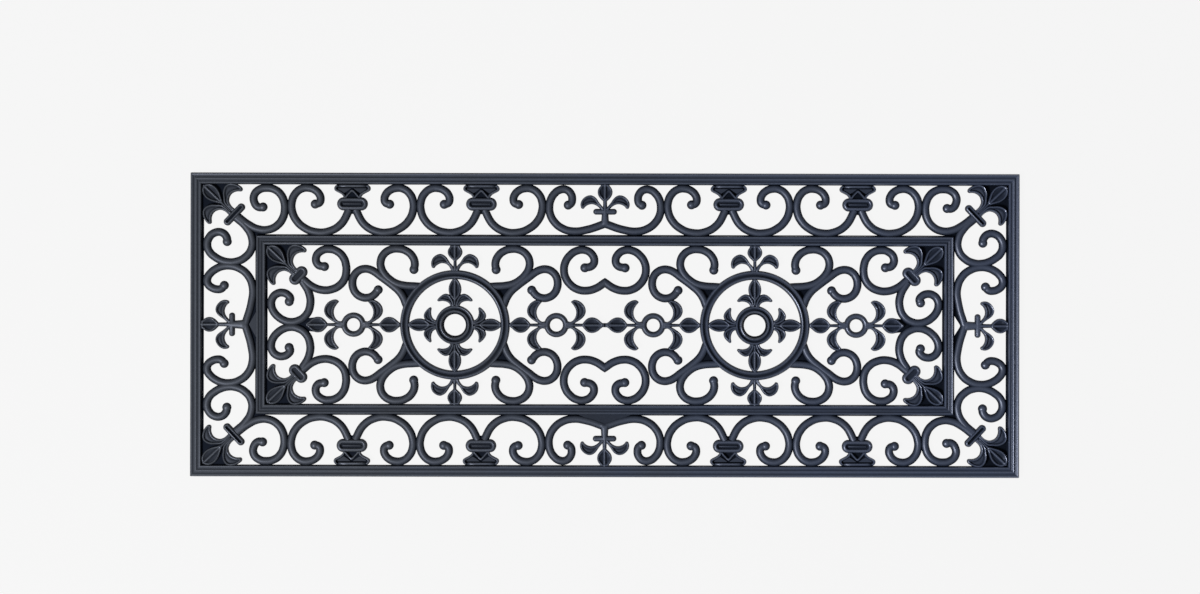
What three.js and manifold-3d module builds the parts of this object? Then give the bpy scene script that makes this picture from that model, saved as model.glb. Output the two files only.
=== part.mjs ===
// Rubber door mat: openwork scrolls, leaves, medallions and rosettes between two ridged rails.
// The mat is modelled as its moulded elements, each a solid of its own, in millimetres.
// The origin is on the floor under the middle of the mat: +X along its length, +Y towards the
// far long edge, +Z up.

import * as THREE from 'three';
import { mergeVertices } from 'three/addons/utils/BufferGeometryUtils.js';
import Module from 'manifold-3d';

const wasm = await Module();
wasm.setup();

// Whole mat
const mat_length = 1200;
const mat_width = 440;
const seam = 0.3;
const overrun = 3;

// Rails: three ridges with grooves between them
const rail_height = 10;
const rail_side_height = 6;
const rail_groove_height = 7.6;
const rail_step_length = 150;
const outer_rail_width = 17.3;
const inner_rail_width = 15.2;
const outer_ridge_shares = [[0, 0], [0.08, 0.75], [0.14, 0.3], [0.28, 0.4], [0.42, 1], [0.56, 0.9],
  [0.64, 0], [0.78, 0.8], [0.9, 0.7], [1, 0]];
const inner_ridge_shares = [[0, 0], [0.1, 0.8], [0.26, 0.8], [0.34, 0], [0.5, 0.5], [0.66, 0],
  [0.74, 0.8], [0.9, 0.8], [1, 0]];

// Bands between the rails, and how they and the middle field are divided
const long_band_width = 73;
const end_band_width = 77.5;
const fleur_cell_share = 0.147;
const corner_cell_share = 0.212;
const side_fleur_cell_share = 0.437;
const heart_cell_share = 0.131;
const field_corner_share = 0.245;

// Scroll bars, with a ball at the end of each
const bar_width = 11.2;
const bar_top_width = 5.6;
const bar_height = 9.4;
const bar_bite = 1.2;
const side_bar_bite = 3.4;
const field_bar_bite = 2.3;
const ball_radius = 6.6;
const ball_sides = 8;
const drawn_points = 5;

// Leaves, buds, webs and cross bars
const leaf_height = 8;
const bud_height = 8.8;
const stem_height = 5;
const web_height = 3;
const cross_bar_height = 9;
const slot_depth = 2.5;
const bud_sides = 8;

// Corner palmettes: distances run inward from the inner corner of the rail
const palmette_reach = 63.3;
const palmette_slope = 43.4;
const palmette_bud_length = 31;
const palmette_bud_width = 21;
const palmette_stem_width = 8;
const palmette_bar_length = 40;
const palmette_bar_width = 11.2;
const palmette_slot_length = 28;
const palmette_slot_width = 3;
const knot_length = 31;
const knot_width = 17.4;
const knot_slot_length = 13;
const knot_slot_width = 4;
const corner_leg_shares = [[0.678, 0.153], [0.652, -0.253]];
const field_leg_shares = [[0.934, 0.044], [1.768, -0.051]];

// Clasps that hold the scroll pairs to the outer rail
const collar_width = 44.6;
const collar_depth = 19.2;
const collar_gap = 18.2;
const collar_slot_width = 29;
const collar_slot_depth = 7;
const cap_width = 53;
const cap_depth = 12.5;
const cap_shares = [[0.46, 1], [0.5, 0.62], [0.47, 0.26]];
const clasp_leg_share = [0.518, -0.134];
const neck_width = 25;
const neck_drop = 1.25;
const clasp_height = 9.4;

// Fleurs of the bands
const fleur_bar_length = 35.4;
const fleur_bar_width = 8.6;
const fleur_bar_gap = 38.9;
const fleur_post_width = 11;
const fleur_stem_width = 4;
const fleur_size = 38.6;
const fleur_bud_width = 20;
const fleur_bud_length = 20.6;

// Medallions and what stands above and below them
const medallion_gap = 35;
const ring_width = 13;
const ring_ridge_width = 4.6;
const ring_groove_height = 6.5;
const hub_radius = 28.5;
const hub_hole_radius = 14.8;
const hub_height = 9.6;
const hub_side_height = 7;
const hub_bud_width = 18;
const hub_bud_place_share = 0.66;
const hub_bud_length_share = 0.68;
const crown_bud_length = 19.6;
const ring_sides = 36;
const hub_sides = 20;

// Rosettes
const rosette_inset = 6;
const rosette_radius = 17.4;
const rosette_hole_radius = 7.8;
const rosette_height = 9;
const rosette_side_height = 6.5;
const rosette_size = 44;
const rosette_bud_length = 25.5;
const rosette_bud_width = 20;
const rosette_bud_gap = 39.5;
const rosette_stem_width = 4;
const rosette_tip_length = 9;
const rosette_sides = 14;

const rubber = new THREE.MeshStandardMaterial({ color: 0x3b3f49, roughness: 0.72, metalness: 0 });

// Faces that the elements sit against
const half_length = mat_length / 2;
const half_width = mat_width / 2;
const frame_x = half_length - outer_rail_width;
const frame_y = half_width - outer_rail_width;
const inner_x = frame_x - end_band_width;
const inner_y = frame_y - long_band_width;
const field_x = inner_x - inner_rail_width;
const field_y = inner_y - inner_rail_width;
const tall = 2 * rail_height;
const far_off = mat_length;

// Cells of the bands and of the field
const fleur_half = frame_x * fleur_cell_share;
const corner_start = frame_x * (1 - corner_cell_share);
const clasp_half = (corner_start - fleur_half) / 4;
const clasp_places = [fleur_half + clasp_half, corner_start - clasp_half];
const side_fleur_half = frame_y * side_fleur_cell_share;
const heart_half = field_x * heart_cell_share;
const field_corner_start = field_x * (1 - field_corner_share);
const medallion_x = (heart_half + field_corner_start) / 2;
const medallion_half = (field_corner_start - heart_half) / 2;
const ring_radius = field_y - medallion_gap;
const rosette_offset = medallion_half - rosette_inset;
const rosette_reach = rosette_bud_gap + rosette_bud_length + rosette_tip_length;
const bar_inset = bar_width / 2 - bar_bite;
const side_bar_inset = bar_width / 2 - side_bar_bite;
const field_bar_inset = bar_width / 2 - field_bar_bite;

// Scrolls. A scroll winds round its eye: its radii are given at equal turns, as shares of the
// depth of the box that it fills, and roundness is the box's width over its depth.
const clasp_scroll = {
  eye_share: [0.652, 0.653], roundness: 1.386, first: 190, turn: 25,
  radius_shares: [0.826, 0.815, 0.729, 0.642, 0.578, 0.540, 0.505, 0.483, 0.458, 0.421, 0.355, 0.302,
    0.254, 0.210, 0.170],
  end_shares: [[0.607, 0.629]],
};
const fleur_scroll = {
  eye_share: [0.713, 0.621], roundness: 1.266, first: 205, turn: 25,
  radius_shares: [0.997, 0.740, 0.615, 0.520, 0.449, 0.402, 0.366, 0.357, 0.361, 0.379, 0.366, 0.294,
    0.202, 0.140],
  end_shares: [[0.658, 0.618]],
};
const side_fleur_scroll = {
  eye_share: [0.718, 0.664], roundness: 1.256, first: 211, turn: 25,
  radius_shares: [1.0, 0.767, 0.664, 0.557, 0.453, 0.374, 0.325, 0.297, 0.300, 0.323, 0.310, 0.242,
    0.189, 0.167],
  end_shares: [[0.655, 0.603]],
};
const corner_long_scroll = {
  eye_share: [0.221, 0.746], roundness: 1.066, first: -21, turn: -25,
  radius_shares: [0.409, 0.346, 0.333, 0.316, 0.288, 0.260, 0.242, 0.239, 0.249, 0.257, 0.254, 0.257,
    0.237, 0.177, 0.116],
  end_shares: [[0.269, 0.737]],
};
const corner_end_scroll = {
  eye_share: [0.753, 0.207], roundness: 1.066, first: 113, turn: 25,
  radius_shares: [0.395, 0.375, 0.374, 0.355, 0.299, 0.250, 0.218, 0.201, 0.202, 0.232, 0.254, 0.258,
    0.242, 0.204, 0.125],
  end_shares: [[0.727, 0.270]],
};
const field_long_scroll = {
  eye_share: [0.203, 0.718], roundness: 1.041, first: -22, turn: -25,
  radius_shares: [0.395, 0.349, 0.308, 0.273, 0.249, 0.230, 0.216, 0.219, 0.242, 0.266, 0.283, 0.290,
    0.268, 0.176],
  end_shares: [[0.280, 0.756]],
};
const field_end_scroll = {
  eye_share: [0.770, 0.222], roundness: 1.041, first: 135, turn: 25,
  radius_shares: [0.397, 0.379, 0.351, 0.316, 0.264, 0.228, 0.205, 0.196, 0.204, 0.223, 0.237, 0.227,
    0.194, 0.143],
  end_shares: [[0.723, 0.320], [0.743, 0.280]],
};
const c_scroll = {
  eye_share: [0.051, 0.763], roundness: 0.628, first: 228, turn: 25,
  radius_shares: [0.345, 0.261, 0.223, 0.200, 0.202, 0.223, 0.245, 0.257, 0.252, 0.243, 0.244, 0.244,
    0.238],
  end_shares: [[-0.289, 0.727]],
};
const s_scroll = {
  start_shares: [[-0.123, 0.272], [-0.072, 0.363], [0.022, 0.450], [0.166, 0.522], [0.297, 0.586]],
  eye_share: [0.716, 0.545], roundness: 0.628, first: 155, turn: -25,
  radius_shares: [0.212, 0.193, 0.193, 0.198, 0.196, 0.189, 0.182, 0.183, 0.191, 0.196, 0.198, 0.197],
  end_shares: [[0.456, 0.459]],
};
const heart_scroll = {
  eye_share: [0.552, 0.727], roundness: 0.543, first: 209, turn: 25,
  radius_shares: [0.343, 0.311, 0.287, 0.271, 0.253, 0.245, 0.243, 0.247, 0.254, 0.270, 0.275, 0.255,
    0.198],
  end_shares: [[0.293, 0.774], [0.485, 0.754]],
};

// Curled leaves: middle line and half width at each point, as shares of the leaf's size
const palmette_leaf_shares = [[0.90, 0.06, 0.038], [0.767, 0.064, 0.043], [0.667, 0.092, 0.060],
  [0.597, 0.166, 0.076], [0.550, 0.240, 0.100], [0.532, 0.345, 0.125], [0.560, 0.430, 0.120],
  [0.640, 0.500, 0.095], [0.725, 0.530, 0.035]];
const palmette_web_shares = [[0, 0], [0.506, 0.537], [0.585, 0.427], [0.600, 0.253], [0.727, 0.063],
  [0.727, -0.063], [0.600, -0.253], [0.585, -0.427], [0.506, -0.537]];
const fleur_leaf_shares = [[0.06, 0.93, 0.07], [0.246, 1.225, 0.115], [0.48, 1.355, 0.165],
  [0.72, 1.27, 0.145], [0.83, 1.02, 0.05]];
const crown_leaf_shares = [[0.06, 0.02, 0.06], [0.24, 0.25, 0.11], [0.43, 0.45, 0.16],
  [0.68, 0.48, 0.17], [0.88, 0.32, 0.14], [0.93, 0.09, 0.045]];
const hub_leaf_shares = [[0.14, 0.02, 0.08], [0.28, 0.22, 0.12], [0.46, 0.33, 0.12],
  [0.62, 0.26, 0.08], [0.68, 0.15, 0.03]];
const rosette_leaf_shares = [[0.42, 0.07, 0.08], [0.67, 0.22, 0.09], [0.80, 0.45, 0.15],
  [0.735, 0.66, 0.12], [0.58, 0.77, 0.04]];
const web_shares = [[-0.42, 0.50], [-0.05, 0.56], [0.18, 0.50], [0.06, 0.42], [-0.10, 0.27],
  [-0.25, 0.30]];

// Solids from closed three.js shapes, and back
function toSolid(geometry) {
  geometry.deleteAttribute('normal');
  geometry.deleteAttribute('uv');
  const merged = mergeVertices(geometry);
  return new wasm.Manifold(new wasm.Mesh({
    numProp: 3,
    vertProperties: new Float32Array(merged.attributes.position.array),
    triVerts: new Uint32Array(merged.index.array),
  }));
}

function toGeometry(solid) {
  const mesh = solid.getMesh();
  const geometry = new THREE.BufferGeometry();
  geometry.setAttribute('position', new THREE.BufferAttribute(mesh.vertProperties, 3));
  geometry.setIndex(new THREE.BufferAttribute(mesh.triVerts, 1));
  geometry.computeVertexNormals();
  return geometry;
}

function join(solids) {
  return solids.reduce((whole, next) => whole.add(next));
}

function cut(solid, tools) {
  return tools.reduce((left, tool) => left.subtract(tool), solid);
}

function box(x_low, x_high, y_low, y_high, height) {
  const geometry = new THREE.BoxGeometry(x_high - x_low, y_high - y_low, 2 * height);
  geometry.translate((x_low + x_high) / 2, (y_low + y_high) / 2, 0);
  return toSolid(geometry);
}

// A flat slab of an outline, standing on the floor
function slab(points, height) {
  const outline = new THREE.Shape(points.map(([x, y]) => new THREE.Vector2(x, y)));
  return toSolid(new THREE.ExtrudeGeometry(outline, { depth: height, bevelEnabled: false }));
}

// The same outline as a pocket sunk from the top
function pocket(points, top, depth) {
  const outline = new THREE.Shape(points.map(([x, y]) => new THREE.Vector2(x, y)));
  const geometry = new THREE.ExtrudeGeometry(outline, { depth: depth + overrun, bevelEnabled: false });
  geometry.translate(0, 0, top - depth);
  return toSolid(geometry);
}

function disc(radius, height, sides) {
  const geometry = new THREE.CylinderGeometry(radius, radius, 2 * height, sides);
  geometry.rotateX(Math.PI / 2);
  return toSolid(geometry);
}

// A closed ring or a round boss from its profile of [radius, height] points
function turned(profile, sides) {
  const points = profile.map(([radius, z]) => new THREE.Vector2(radius, z));
  const geometry = new THREE.LatheGeometry([...points, points[0]], sides);
  geometry.rotateX(Math.PI / 2);
  return toSolid(geometry);
}

function moved(solid, x, y) {
  return solid.translate([x, y, 0]);
}

// A path whose steps follow its own points, so that it is finer where it curls
class BarPath extends THREE.CatmullRomCurve3 {
  getPointAt(share, target) {
    return this.getPoint(share, target);
  }

  getTangentAt(share, target) {
    return this.getTangent(share, target);
  }
}

function ballEnd(x, y) {
  const top_radius = ball_radius - (bar_width - bar_top_width) / 2;
  const geometry = new THREE.CylinderGeometry(top_radius, ball_radius, bar_height, ball_sides);
  geometry.rotateX(Math.PI / 2);
  geometry.translate(x, y, bar_height / 2);
  return toSolid(geometry);
}

// The middle line of a scroll in the box [x, y, width, depth]. Its first point goes to start, where
// that is given, with the next few points drawn after it; hand -1 mirrors it in x
function scrollPoints(scroll, [x, y, width, depth], hand, start) {
  const place = ([across, along]) => [x + across * width, y + along * depth];
  const wound = scroll.radius_shares.map((radius_share, index) => {
    const angle = THREE.MathUtils.degToRad(scroll.first + index * scroll.turn);
    return place([
      scroll.eye_share[0] + radius_share * Math.cos(angle) / scroll.roundness,
      scroll.eye_share[1] + radius_share * Math.sin(angle),
    ]);
  });
  const points = [...(scroll.start_shares ?? []).map(place), ...wound, ...scroll.end_shares.map(place)];
  const [first_x, first_y] = points[0];
  const [start_x, start_y] = start ?? points[0];
  return points.map(([point_x, point_y], index) => {
    const pull = Math.max(0, 1 - index / drawn_points);
    return [hand * (point_x + pull * (start_x - first_x)), point_y + pull * (start_y - first_y)];
  });
}

function scrollBar(scroll, cell, hand, start) {
  const points = scrollPoints(scroll, cell, hand, start);
  const path = new BarPath(points.map(([x, y]) => new THREE.Vector3(x, y, 0)), false, 'centripetal');
  const section = new THREE.Shape([
    new THREE.Vector2(0, -bar_width / 2),
    new THREE.Vector2(0, bar_width / 2),
    new THREE.Vector2(-bar_height, bar_top_width / 2),
    new THREE.Vector2(-bar_height, -bar_top_width / 2),
  ]);
  const bar = toSolid(new THREE.ExtrudeGeometry(section, {
    steps: points.length - 1, bevelEnabled: false, extrudePath: path,
  }));
  const [end_x, end_y] = points[points.length - 1];
  return bar.add(ballEnd(end_x, end_y));
}

// A leaf along its middle line; side -1 mirrors it across the motif's axis
function leaf(shares, size, lift, side) {
  const spine = shares.map(([x, y, half]) => [side * x * size, lift + y * size, half * size]);
  const edges = [[], []];
  spine.forEach(([x, y, half], index) => {
    const before = spine[Math.max(index - 1, 0)];
    const after = spine[Math.min(index + 1, spine.length - 1)];
    const run = Math.hypot(after[0] - before[0], after[1] - before[1]);
    const normal = [(before[1] - after[1]) / run, (after[0] - before[0]) / run];
    edges[0].push([x + normal[0] * half, y + normal[1] * half]);
    edges[1].unshift([x - normal[0] * half, y - normal[1] * half]);
  });
  return slab([...edges[0], ...edges[1]], leaf_height);
}

// A pointed oval bud with its long axis along y
function bud(centre_y, length, width, height = bud_height) {
  const points = [];
  for (let side = 0; side < bud_sides; side += 1) {
    const angle = 2 * Math.PI * side / bud_sides;
    points.push([width / 2 * Math.sin(angle), centre_y + length / 2 * Math.cos(angle)]);
  }
  return slab(points, height);
}

// A bar with round ends, lying along x; grow widens it all round for a clearance
function roundBar(length, width, centre_y, grow) {
  const radius = width / 2 + grow;
  const reach = length / 2 - width / 2;
  const points = [];
  for (const end of [1, -1]) {
    for (const degrees of [-90, -45, 0, 45, 90]) {
      const angle = THREE.MathUtils.degToRad(degrees);
      points.push([end * (reach + radius * Math.cos(angle)), centre_y + end * radius * Math.sin(angle)]);
    }
  }
  return points;
}

function strip(width, low, high, height) {
  return slab([[-width / 2, low], [width / 2, low], [width / 2, high], [-width / 2, high]], height);
}

// A ridged rail along +Y of its frame: its outer face at y = edge. Each line along it is as long as
// its distance from the edge asks, so the ends are 45 degree mitres
function rail(half_span, edge, width, ridge_shares) {
  const rise = rail_height - rail_groove_height;
  const outline = ridge_shares.map(([across, up], index) => {
    const at_side = index === 0 || index === ridge_shares.length - 1;
    return [edge - across * width, at_side ? rail_side_height : rail_groove_height + up * rise];
  });
  const section = new THREE.Shape([
    new THREE.Vector2(edge - width, 0),
    new THREE.Vector2(edge, 0),
    ...outline.map(([y, z]) => new THREE.Vector2(y, z)),
  ]);
  const steps = Math.max(1, Math.round(2 * half_span / rail_step_length));
  const geometry = new THREE.ExtrudeGeometry(section, {
    depth: 2 * half_span, steps, bevelEnabled: false,
  });
  geometry.rotateY(Math.PI / 2);
  geometry.rotateX(Math.PI / 2);
  geometry.translate(-half_span, 0, 0);
  const trim = half_span - edge - seam / Math.SQRT2;
  const { position } = geometry.attributes;
  for (let index = 0; index < position.count; index += 1) {
    const reach = trim + position.getY(index);
    position.setX(index, position.getX(index) * reach / half_span);
  }
  return toSolid(geometry);
}

// What keeps an element a seam clear of the frame and of the inner rail
function bandCell(half, depth) {
  return box(-half + seam / 2, half - seam / 2, seam, depth - seam, tall);
}

// Band motifs stand on the inner rail's outer face (y = 0) and reach to the outer rail
function clasp() {
  const scroll_box = [0, bar_inset, clasp_half - bar_inset, long_band_width - 2 * bar_inset];
  const collar_y = long_band_width - collar_gap - collar_depth / 2;
  const [leg_x_share, leg_drop_share] = clasp_leg_share;
  const leg_start = [leg_x_share * bar_width, collar_y - collar_depth / 2 - leg_drop_share * bar_width];
  const cap_low = long_band_width - cap_depth;
  const cap_side = [
    ...cap_shares.map(([across, up]) => [across * cap_width, cap_low + up * cap_depth]),
    [neck_width / 2, cap_low - neck_drop],
    [neck_width / 2, collar_y],
  ];
  const cap_mirrored = cap_side.map(([x, y]) => [-x, y]).reverse();
  const body = join([
    scrollBar(clasp_scroll, scroll_box, 1, leg_start),
    scrollBar(clasp_scroll, scroll_box, -1, leg_start),
    slab([...cap_side, ...cap_mirrored], clasp_height),
    slab(roundBar(collar_width, collar_depth, collar_y, 0), clasp_height),
  ]);
  const slot = roundBar(collar_slot_width, collar_slot_depth, collar_y, 0);
  return cut(body.intersect(bandCell(clasp_half, long_band_width)),
    [pocket(slot, clasp_height, slot_depth)]);
}

function bandFleur(scroll, half, half_inset, depth) {
  const scroll_box = [0, bar_inset, half - half_inset, depth - 2 * bar_inset];
  const bar_y = fleur_bar_gap - fleur_bar_width / 2;
  const bud_y = depth - fleur_bud_length / 2;
  return join([
    scrollBar(scroll, scroll_box, 1),
    scrollBar(scroll, scroll_box, -1),
    strip(fleur_post_width, bar_width, bar_y, stem_height),
    strip(fleur_stem_width, bar_y, bud_y, stem_height),
    slab(roundBar(fleur_bar_length, fleur_bar_width, bar_y, 0), cross_bar_height),
    leaf(fleur_leaf_shares, fleur_size, 0, 1),
    leaf(fleur_leaf_shares, fleur_size, 0, -1),
    bud(bud_y, fleur_bud_length + overrun, fleur_bud_width),
  ]).intersect(bandCell(half, depth));
}

// A palmette in a rail corner: y runs inward from the corner along the palmette's own axis
function palmette(bar_outline, bar_top, slot_outline) {
  const web = palmette_web_shares.map(([along, across]) => [across * palmette_reach, along * palmette_reach]);
  const leaf_shares = palmette_leaf_shares.map(([along, across, half]) => [across, along, half]);
  return cut(join([
    slab(web, web_height),
    leaf(leaf_shares, palmette_reach, 0, 1),
    leaf(leaf_shares, palmette_reach, 0, -1),
    bud(palmette_bud_length / 2 + palmette_stem_width / 2, palmette_bud_length, palmette_bud_width),
    strip(palmette_stem_width, palmette_bud_length, palmette_reach, stem_height),
    slab(bar_outline, bar_top),
  ]), [pocket(slot_outline, bar_top, slot_depth)]);
}

const cross_bar = roundBar(palmette_bar_length, palmette_bar_width, palmette_reach, 0);
const cross_slot = roundBar(palmette_slot_length, palmette_slot_width, palmette_reach, 0);
const knot = roundBar(knot_length, knot_width, palmette_reach, 0);
const knot_slot = roundBar(knot_slot_length, knot_slot_width, palmette_reach, 0);

// Turns a palmette so that it runs inward from the corner (x, y) towards (0, 0)
function inCorner(solid, x, y, hand) {
  const turn = hand > 0 ? 90 + palmette_slope : -90 - palmette_slope;
  return solid.rotate([0, 0, turn]).translate([hand * x, y, 0]);
}

// Where a scroll starts past the middle of the bar across the palmette of the corner (x, y)
function legStart([past_share, aside_share], x, y) {
  const slope = THREE.MathUtils.degToRad(palmette_slope);
  const along = palmette_reach + past_share * bar_width;
  const aside = aside_share * bar_width;
  return [
    x - along * Math.cos(slope) - aside * Math.sin(slope),
    y - along * Math.sin(slope) + aside * Math.cos(slope),
  ];
}

function cornerPalmette(hand) {
  const limits = box(-frame_x + seam, frame_x - seam, 0, frame_y - seam, tall);
  return inCorner(palmette(cross_bar, cross_bar_height, cross_slot), frame_x, frame_y, hand)
    .intersect(limits);
}

function cornerScrolls(hand) {
  const left = corner_start + bar_inset;
  const low = side_fleur_half + side_bar_inset;
  const scroll_box = [left, low, frame_x - bar_inset - left, frame_y - bar_inset - low];
  const clearance = inCorner(
    slab(roundBar(palmette_bar_length, palmette_bar_width, palmette_reach, seam), tall),
    frame_x, frame_y, hand,
  );
  const limits = hand > 0
    ? box(corner_start + seam / 2, frame_x - seam, side_fleur_half + seam / 2, frame_y - seam, tall)
    : box(-frame_x + seam, -corner_start - seam / 2, side_fleur_half + seam / 2, frame_y - seam, tall);
  const middle = box(-inner_x - seam, inner_x + seam, -inner_y - seam, inner_y + seam, tall);
  return cut(join([
    scrollBar(corner_long_scroll, scroll_box, hand, legStart(corner_leg_shares[0], frame_x, frame_y)),
    scrollBar(corner_end_scroll, scroll_box, hand, legStart(corner_leg_shares[1], frame_x, frame_y)),
  ]).intersect(limits), [middle, clearance]);
}

// Field motifs
function fieldPalmette(hand) {
  const limits = box(-field_x + seam, field_x - seam, 0, field_y - seam, tall);
  return inCorner(palmette(knot, bar_height, knot_slot), field_x, field_y, hand).intersect(limits);
}

// The space round a rosette's outer arm, which runs in between two field scrolls
function armSpace(hand) {
  const middle = medallion_x + rosette_offset;
  const half = rosette_stem_width / 2 + seam;
  const bud_space = bud(middle + rosette_bud_gap + rosette_bud_length / 2,
    rosette_bud_length + 2 * seam, rosette_bud_width + 2 * seam, tall).rotate([0, 0, -90]);
  return box(0, middle + rosette_reach + seam, -half, half, tall)
    .add(bud_space)
    .rotate([0, 0, hand > 0 ? 0 : 180]);
}

function fieldScrolls(hand) {
  const left = field_corner_start + bar_inset;
  const scroll_box = [left, field_bar_inset, field_x - bar_inset - left,
    field_y - bar_inset - field_bar_inset];
  const clearance = inCorner(
    slab(roundBar(knot_length, knot_width, palmette_reach, seam), tall),
    field_x, field_y, hand,
  );
  const limits = hand > 0
    ? box(field_corner_start + seam / 2, field_x - seam, seam / 2, field_y - seam, tall)
    : box(-field_x + seam, -field_corner_start - seam / 2, seam / 2, field_y - seam, tall);
  return cut(join([
    scrollBar(field_long_scroll, scroll_box, hand, legStart(field_leg_shares[0], field_x, field_y)),
    scrollBar(field_end_scroll, scroll_box, hand, legStart(field_leg_shares[1], field_x, field_y)),
  ]).intersect(limits), [clearance, armSpace(hand)]);
}

// Medallion motifs have the middle of the medallion as their origin
function medallionScrolls(hand) {
  const width = medallion_half - bar_inset - ring_radius;
  const scroll_box = [ring_radius, 0, width, field_y - bar_inset];
  const web = web_shares.map(([x, y]) => [hand * (ring_radius + x * width), y * scroll_box[3]]);
  const limits = hand > 0
    ? box(0, medallion_half - seam / 2, 0, field_y - seam, tall)
    : box(-medallion_half + seam / 2, 0, 0, field_y - seam, tall);
  return cut(join([
    scrollBar(c_scroll, scroll_box, hand),
    scrollBar(s_scroll, scroll_box, hand),
    slab(web, web_height),
  ]).intersect(limits), [disc(ring_radius + seam, tall, ring_sides)]);
}

function medallionRing() {
  const inner = ring_radius - ring_width;
  return turned([[inner, 0], [ring_radius, 0], [ring_radius, rail_side_height],
    [ring_radius - ring_ridge_width / 2, rail_height],
    [ring_radius - ring_width / 2, ring_groove_height],
    [inner + ring_ridge_width / 2, rail_height], [inner, rail_side_height]], ring_sides);
}

function medallionHub() {
  const gap = ring_radius - ring_width - hub_radius;
  const parts = [];
  for (const quarter of [0, 90, 180, 270]) {
    const fleur = join([
      leaf(hub_leaf_shares, gap, hub_radius, 1),
      leaf(hub_leaf_shares, gap, hub_radius, -1),
      bud(hub_radius + gap * hub_bud_place_share, gap * hub_bud_length_share + overrun, hub_bud_width),
      strip(fleur_post_width, hub_radius - overrun, hub_radius + gap / 2, stem_height),
    ]);
    parts.push(fleur.rotate([0, 0, quarter]));
  }
  const middle = (hub_radius + hub_hole_radius) / 2;
  const ring = turned([[hub_hole_radius, 0], [hub_radius, 0], [hub_radius, hub_side_height],
    [middle, hub_height], [hub_hole_radius, hub_side_height]], hub_sides);
  return join([ring, ...parts]).intersect(disc(ring_radius - ring_width - seam, tall, ring_sides));
}

function crownFleur() {
  const bud_y = field_y - crown_bud_length / 2;
  const body = join([
    leaf(crown_leaf_shares, medallion_gap, ring_radius, 1),
    leaf(crown_leaf_shares, medallion_gap, ring_radius, -1),
    strip(fleur_stem_width, ring_radius - overrun, bud_y, stem_height),
    bud(bud_y, crown_bud_length + overrun, fleur_bud_width),
  ]);
  const limits = box(-medallion_half, medallion_half, 0, field_y - seam, tall);
  return cut(body.intersect(limits), [disc(ring_radius + seam, tall, ring_sides)]);
}

// A rosette: its own +x points away from the medallion
function rosette(away_reach) {
  const petals = [];
  for (const side of [1, -1]) {
    petals.push(leaf(rosette_leaf_shares, rosette_size, 0, side));
    petals.push(leaf(rosette_leaf_shares, rosette_size, 0, side).rotate([0, 0, 180]));
    petals.push(bud(rosette_bud_gap + rosette_bud_length / 2, rosette_bud_length, rosette_bud_width)
      .rotate([0, 0, -90 * side]));
  }
  const near_reach = rosette_offset - ring_radius - seam;
  const half = rosette_stem_width / 2;
  const hole = disc(rosette_hole_radius, tall, rosette_sides);
  const ring = turned([[rosette_hole_radius, 0], [rosette_radius, 0],
    [rosette_radius, rosette_side_height], [(rosette_radius + rosette_hole_radius) / 2, rosette_height],
    [rosette_hole_radius, rosette_side_height]], rosette_sides);
  const stem = slab([[-near_reach, -half], [away_reach, -half], [away_reach, half], [-near_reach, half]],
    stem_height);
  const curl_radius_share = s_scroll.radius_shares[s_scroll.radius_shares.length - 2];
  const curl_low_share = s_scroll.eye_share[1] - curl_radius_share;
  const curl_low = curl_low_share * (field_y - bar_inset) - bar_width / 2 - seam;
  const clear_of_curl = [
    box(-far_off, 0, curl_low, far_off, tall),
    box(-far_off, 0, -far_off, -curl_low, tall),
  ];
  const clear_of_ring = moved(disc(ring_radius + seam, tall, ring_sides), -rosette_offset, 0);
  const limits = box(-far_off, away_reach, -far_off, far_off, tall);
  const body = join([cut(stem, [hole]), ring, ...petals]).intersect(limits);
  return cut(body, [...clear_of_curl, clear_of_ring]);
}

function heartScrolls() {
  const scroll_box = [0, 0, heart_half - bar_inset, field_y - bar_inset];
  const limits = box(-heart_half + seam / 2, heart_half - seam / 2, seam / 2, field_y - seam, tall);
  return join([
    scrollBar(heart_scroll, scroll_box, 1),
    scrollBar(heart_scroll, scroll_box, -1),
  ]).intersect(limits);
}

const mat = new THREE.Group();
mat.name = 'door_mat';

function addNode(name, solid, x = 0, y = 0, degrees = 0) {
  const mesh = new THREE.Mesh(toGeometry(solid), rubber);
  mesh.name = name;
  mesh.position.set(x, y, 0);
  mesh.rotation.z = THREE.MathUtils.degToRad(degrees);
  mat.add(mesh);
}

// Rails
const rail_turns = [['top', 0], ['right', -90], ['bottom', 180], ['left', 90]];
for (const [side, degrees] of rail_turns) {
  const long = side === 'top' || side === 'bottom';
  const outer = long ? [half_length, half_width] : [half_width, half_length];
  const inner = long ? [inner_x, inner_y] : [inner_y, inner_x];
  addNode(`outer_rail_${side}`, rail(...outer, outer_rail_width, outer_ridge_shares), 0, 0, degrees);
  addNode(`inner_rail_${side}`, rail(...inner, inner_rail_width, inner_ridge_shares), 0, 0, degrees);
}

// Long bands and the middle field, once for the top half and turned round for the bottom half
const clasp_solid = clasp();
const fleur_solid = bandFleur(fleur_scroll, fleur_half, bar_inset, long_band_width);
const heart_solid = heartScrolls();
for (const [row, turn] of [['top', 0], ['bottom', 180]]) {
  const up = turn === 0 ? 1 : -1;
  addNode(`centre_fleur_${row}`, fleur_solid, 0, up * inner_y, turn);
  addNode(`heart_scrolls_${row}`, heart_solid, 0, 0, turn);
  for (const [end, side] of [['left', -1], ['right', 1]]) {
    clasp_places.forEach((place, index) => {
      addNode(`clasp_${row}_${end}_${index + 1}`, clasp_solid, side * place, up * inner_y, turn);
    });
    const hand = side * up;
    addNode(`corner_palmette_${row}_${end}`, cornerPalmette(hand), 0, 0, turn);
    addNode(`corner_scrolls_${row}_${end}`, cornerScrolls(hand), 0, 0, turn);
    addNode(`field_palmette_${row}_${end}`, fieldPalmette(hand), 0, 0, turn);
    addNode(`field_scrolls_${row}_${end}`, fieldScrolls(hand), 0, 0, turn);
  }
}

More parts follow.
